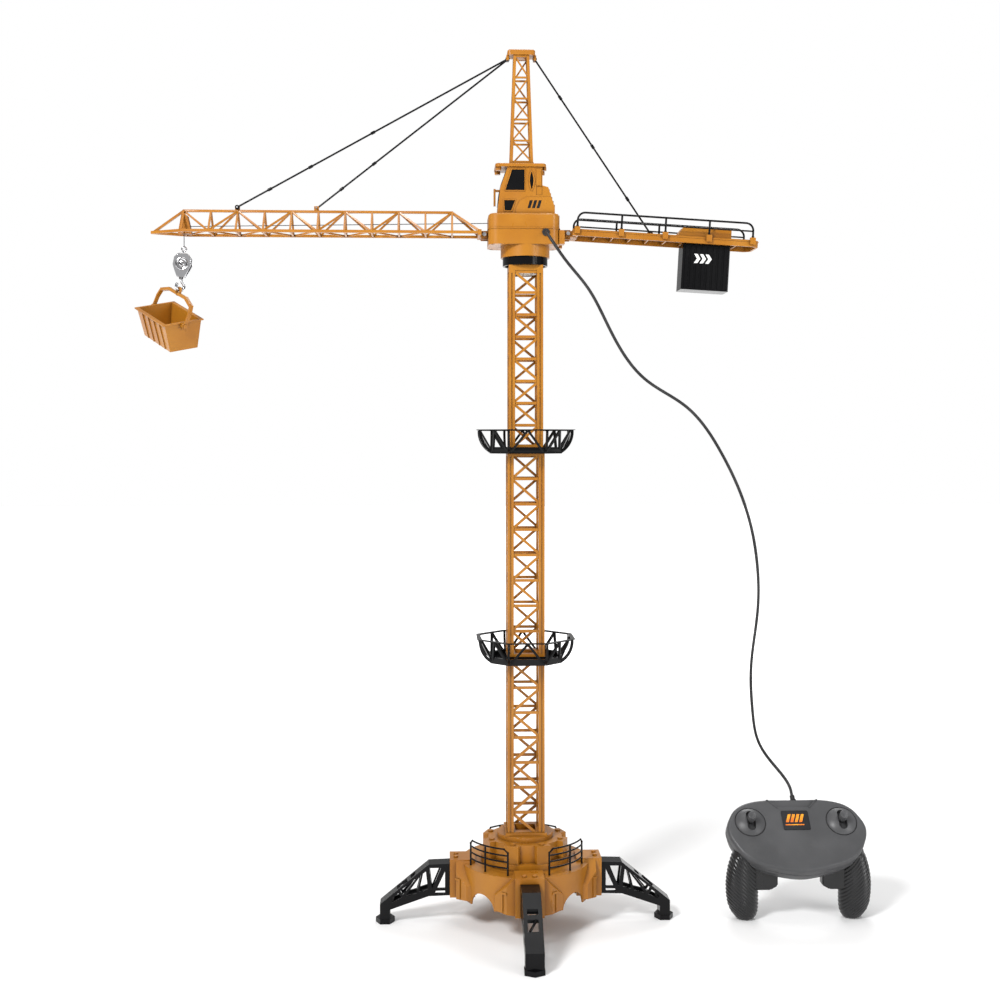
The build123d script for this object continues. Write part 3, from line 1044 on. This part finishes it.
def make_handle():
    """The bail: an eye in the middle of a top bar, two bent arms and an eye at each pivot."""
    top, reach = -3.6, BASKET_LENGTH / 2 + 2.8
    shoulder, knee = -HANDLE_DROP + 29.0, -HANDLE_DROP + ARM_STRAIGHT
    pieces = [bar((0, -HANDLE_TOP_HALF - 1, top), (0, HANDLE_TOP_HALF + 1, top), 4.4, 5.2, facing=(1, 0, 0))]
    for side in (-1, 1):
        pieces.append(bar((0, side * HANDLE_TOP_HALF, top + 0.6), (0, side * (reach - 4), shoulder), 4.4, 5.2,
                          facing=(1, 0, 0)))
        pieces.append(bar((0, side * (reach - 5), shoulder + 1.5), (0, side * reach, knee), 3.6, 5.2,
                          facing=(1, 0, 0)))
        pieces.append(bar((0, side * reach, knee + 1.5), (0, side * reach, -HANDLE_DROP), 2.8, 5.2,
                          facing=(1, 0, 0)))
        y0, y1 = sorted((side * (reach - 1.4), side * (reach + 1.4)))
        pieces.append(rod((0, y0, -HANDLE_DROP), (0, y1, -HANDLE_DROP), 4.8))
    pieces.append(rod((-1.3, 0, 0), (1.3, 0, 0), 6.8))
    handle = joined(pieces)
    handle -= rod((-5, 0, 0), (5, 0, 0), 4.3)
    return handle - rod((0, -80, -HANDLE_DROP), (0, 80, -HANDLE_DROP), 2.0 + BEARING_GAP)


keep("basket_handle", handle_place * make_handle())


def make_basket():
    """A tapered tub with a flared rim, grooved long sides and a pivot stub at each end."""
    rim_z = 5.0
    floor_z = rim_z - BASKET_DEPTH
    wall = 2.4

    def tub(inset, z_top, z_floor):
        upper_face = Pos(0, 0, z_top) * Rectangle(BASKET_WIDTH - 6 - inset, BASKET_LENGTH - 6 - inset)
        lower_face = Pos(0, 0, z_floor) * Rectangle(FOOT_WIDTH - inset, FOOT_LENGTH - inset)
        return loft([lower_face, upper_face])

    outer = tub(0, rim_z, floor_z)
    rim = Pos(0, 0, rim_z - 0.9) * Box(BASKET_WIDTH, BASKET_LENGTH - 3, 1.8)
    basket = outer + rim
    for side in (-1, 1):
        y0, y1 = sorted((side * (BASKET_LENGTH / 2 - 7), side * (BASKET_LENGTH / 2 + 0.8)))
        basket += rod((0, y0, 0), (0, y1, 0), 5.0)
        for step in range(4):
            y = (step - 1.5) * 21.0
            head = (side * (BASKET_WIDTH / 2 - 3.6), y, rim_z - 1.4)
            foot = (side * (FOOT_WIDTH / 2 - 0.6), y, floor_z + 1)
            basket += bar(head, foot, 4.2, 3.4)
    basket -= tub(2 * wall, rim_z + 0.01, floor_z + 2)
    for side in (-1, 1):
        y0, y1 = sorted((side * (BASKET_LENGTH / 2), side * (BASKET_LENGTH / 2 + 4.8)))
        basket += rod((0, y0, 0), (0, y1, 0), 2.0)
        y0, y1 = sorted((side * (BASKET_LENGTH / 2 + 4.4), side * (BASKET_LENGTH / 2 + 5.8)))
        basket += rod((0, y0, 0), (0, y1, 0), 3.0)
    return basket


keep("basket", basket_place * make_basket())
keep("hanging_string", rod((STRING_X, 0, EYE_Z + 4.5), (STRING_X, 0, PULLEY_Z - 0.2), STRING_RADIUS))

# ---- controller ----
# Local frame of the controller's head: X to the right, Y up its face, Z out of its face.
face_place = Pos(CONTROL_X, 0, CONTROL_Z) * Rot(FACE_TILT, 0, 0)
SHELL = 2.4
STICK_PIVOT = 5.0
LABEL_V = 17.0
CABLE_W = 6.5
BOTTOM_SCREWS = [(-56, -30), (56, -30), (-62, 36), (62, 36)]


def head_outline(inset=0.0):
    """The bean outline of the head: a flat top edge, full sides and a wide round bottom."""
    wide, tall = 1 - inset / 104.5, 1 - inset / 54
    bends = [((39, 53), (78, 44.5), (99, 22)), ((99, 22), (104.5, 4), (98, -15)),
             ((98, -15), (80, -36), (52, -47)), ((52, -47), (0, -55), (-52, -47))]
    bends += [[(-x, y) for x, y in bend] for bend in bends[:3]]
    arcs = [ThreePointArc(*[(x * wide, y * tall) for x, y in bend]) for bend in bends]
    return make_face([Line((-39 * wide, 53 * tall), (39 * wide, 53 * tall))] + arcs)


def dome(radius, rise, z):
    """A shallow spherical cap standing on height z."""
    ball = (radius * radius + rise * rise) / (2 * rise)
    cap = Pos(0, 0, z + rise - ball) * Sphere(ball)
    return cap & Pos(0, 0, z) * Cylinder(radius, rise + 1, align=(Align.CENTER, Align.CENTER, Align.MIN))


def make_controller_top():
    """The face shell with two slotted domes and a cable recess, open below."""
    outer = extrude(head_outline(), HEAD_RISE - 4)
    outer += loft([Pos(0, 0, HEAD_RISE - 4) * head_outline(), Pos(0, 0, HEAD_RISE) * head_outline(4)], ruled=True)
    shell = outer - extrude(head_outline(SHELL), HEAD_RISE - SHELL)
    for side in (-1, 1):
        u = side * STICK_SPACING / 2
        seat = disc(u, STICK_V, HEAD_RISE - 1.2, HEAD_RISE + 0.1, DOME_RADIUS + 1)
        shell -= seat - disc(u, STICK_V, 0, HEAD_RISE + 1, DOME_RADIUS)
        shell -= disc(u, STICK_V, 0, HEAD_RISE + 1, DOME_RADIUS - 3.5)
        bowl = dome(DOME_RADIUS, 8.0, HEAD_RISE - 1.5)
        bowl -= Pos(0, 0, -2.2) * bowl
        bowl -= Pos(0, 1, HEAD_RISE) * Box(12, 30, 30)
        shell += Pos(u, STICK_V, 0) * bowl
        for post in (-1, 1):
            bracket = block(-1.2, 1.2, -24, 24, HEAD_RISE - 4.5, HEAD_RISE - 2)
            bracket += block(-1.2, 1.2, -3, 3, STICK_PIVOT - 2.5, HEAD_RISE - 2)
            shell += Pos(u + post * 8, STICK_V, 0) * bracket
        shell -= rod((u - 12, STICK_V, STICK_PIVOT), (u + 12, STICK_V, STICK_PIVOT), 1.2)
    recess = [(-38, 56), (38, 56), (24, 39), (-24, 39)]
    shell -= plate_z(recess, HEAD_RISE - 1.2, HEAD_RISE + 2)
    shell -= rod((4, 40, CABLE_W), (4, 60, CABLE_W), 3.6)
    bosses = [disc(x, y, 0, HEAD_RISE - 1, 3.4) for x, y in BOTTOM_SCREWS]
    shell = joined([shell] + bosses)
    for x, y in BOTTOM_SCREWS:
        shell -= disc(x, y, -1, 9, 0.95)
    return shell


def grip(side, inset):
    """One upright grip, round in plan, narrow at its foot and full in the hand."""
    sections = [(0.0, 9, 8, 79), (7, 17, 15, 80), (24, 22.5, 19, 83), (52, 23.5, 20.5, 84.5),
                (78, 21.5, 20, 83), (100, 18, 18, 79)]
    faces = []
    for z, rx, ry, x in sections:
        z_here = min(max(z, inset), 100 - inset)
        faces.append(Pos(CONTROL_X + side * x, GRIP_Y, z_here) * Ellipse(rx - inset, ry - inset))
    return loft(faces)


def make_controller_bottom():
    """The rear shell of the head with the two grips it stands on."""
    tub = loft([Pos(0, 0, -HEAD_DROP) * head_outline(7), head_outline(1.5)], ruled=True)
    shoulders = Pos(0, -30, -HEAD_DROP + 3) * Box(120, 24, 10)
    head = face_place * joined([tub, shoulders])
    above = face_place * block(-140, 140, -90, 90, 0, 90)
    grips = [grip(side, 0) for side in (-1, 1)]
    shell = joined([head] + grips) - above
    cavity = face_place * loft([Pos(0, 0, SHELL - HEAD_DROP) * head_outline(SHELL + 7),
                                Pos(0, 0, 0.01) * head_outline(SHELL + 1.5)], ruled=True)
    shell -= cavity
    roof = face_place * block(-140, 140, -90, 90, -SHELL, 90)
    for side in (-1, 1):
        shell -= grip(side, SHELL) - roof
    bosses = [disc(x, y, -HEAD_DROP + 1, 0, 3.4) for x, y in BOTTOM_SCREWS]
    shell = joined([shell] + [face_place * b for b in bosses])
    for x, y in BOTTOM_SCREWS:
        shell -= face_place * disc(x, y, -60, 1, 1.2)
        shell -= face_place * disc(x, y, -60, -HEAD_DROP + 8, 2.4)
    shell -= face_place * block(-31, 31, -26, 26, -HEAD_DROP - 12, -HEAD_DROP + 5)
    return shell


keep("controller_top", face_place * make_controller_top())
keep("controller_bottom", make_controller_bottom())
label = extrude(Pos(0, LABEL_V, HEAD_RISE) * RectangleRounded(40, 31, 2), 1.2)
keep("controller_label", face_place * label)
cover = block(-30.8, 30.8, -25.8, 25.8, -HEAD_DROP, -HEAD_DROP + 2.2)
for step in range(5):
    cover += block(-12, 12, -22 + step * 3, -20.8 + step * 3, -HEAD_DROP - 0.8, -HEAD_DROP)
keep("battery_cover", face_place * cover)
cells = []
for step in (-1, 0, 1):
    y = step * 15.4
    cell = rod((-24.5, y, CELL_W), (24.0, y, CELL_W), 7.1) + rod((24.0, y, CELL_W), (25.5, y, CELL_W), 2.7)
    cells.append(face_place * cell)
keep("battery_cells", *cells)
board = block(-81, 81, 4, 29, -1.6, 0)
for x, y in BOTTOM_SCREWS:
    board -= disc(x, y, -3, 1, 3.8)
keep("circuit_board", face_place * board)
switches = []
for side in (-1, 1):
    for way in (-1, 1):
        u, v = side * STICK_SPACING / 2, STICK_V + way * 7
        switches.append(face_place * (block(u - 3, u + 3, v - 3, v + 3, 0, 1.2) + disc(u, v, 1.2, 1.5, 1.4)))
keep("contact_switches", *switches)


def make_stick():
    """A rocking stick: a lever with its own trunnions, a thin neck and a round knob with a dished top."""
    stick = block(-3.4, 3.4, -8, 8, -1.2, 0.6) + rod((-3.4, 0, 0), (3.4, 0, 0), 3.0)
    stick += disc(0, 0, 0, 22, 2.4)
    stick += disc(0, 0, 15.5, 18.5, 4.2)
    knob = disc(0, 0, 20, 30, 6.2)
    knob = fillet(knob.edges(), 1.0)
    stick += knob
    stick -= Pos(0, 0, 39) * Sphere(10.2)
    return stick + rod((-9, 0, 0), (9, 0, 0), 1.2 - BEARING_GAP)


for name, side in (("left_stick", -1), ("right_stick", 1)):
    keep(name, face_place * Pos(side * STICK_SPACING / 2, STICK_V, STICK_PIVOT) * make_stick())
keep("controller_screws", *[face_place * screw(x, y, -HEAD_DROP + 8, HEAD_DROP - 1, radius=0.95, head=2.1)
                            for x, y in BOTTOM_SCREWS])
sleeve = rod((4, 48.5, CABLE_W), (4, 62, CABLE_W), 3.6) + rod((4, 53.2, CABLE_W), (4, 54.6, CABLE_W), 4.8)
keep("cable_sleeve", face_place * (sleeve - rod((4, 40, CABLE_W), (4, 70, CABLE_W), CABLE_RADIUS + 0.05)))

# ---- cable ----
cable_start = (GROMMET_X, -33, GROMMET_Z)
cable_end = (face_place * Pos(4, 50, CABLE_W)).position
into_sleeve = (face_place * Pos(4, 70, CABLE_W)).position
CABLE_POINTS = [(28, -42, 1007), (52, -60, 968), (86, -66, 924), (116, -66, 868), (170, -62, 793),
                (228, -54, 756), (282, -42, 690), (318, -30, 618), (344, -10, 456), (338, 10, 352),
                (346, 30, 296), (372, 62, 226)]
into_direction = (cable_end - into_sleeve).normalized()
route = Spline([cable_start] + CABLE_POINTS + [tuple(into_sleeve)],
               tangents=[(0, -1, 0), tuple(into_direction)], tangent_scalars=[1, 1])
route += Line(into_sleeve, cable_end)
keep("control_cable", sweep(Plane(origin=route @ 0, z_dir=route % 0) * Circle(CABLE_RADIUS), route))

# ---- write each sub-part, moved so that the origin is under the middle of the whole outline ----
to_origin = Pos(MAST_X, 0, 0)
for name, solids in PARTS.items():
    export_step(Compound(children=[to_origin * solid for solid in solids]), f"parts/{name}.step")
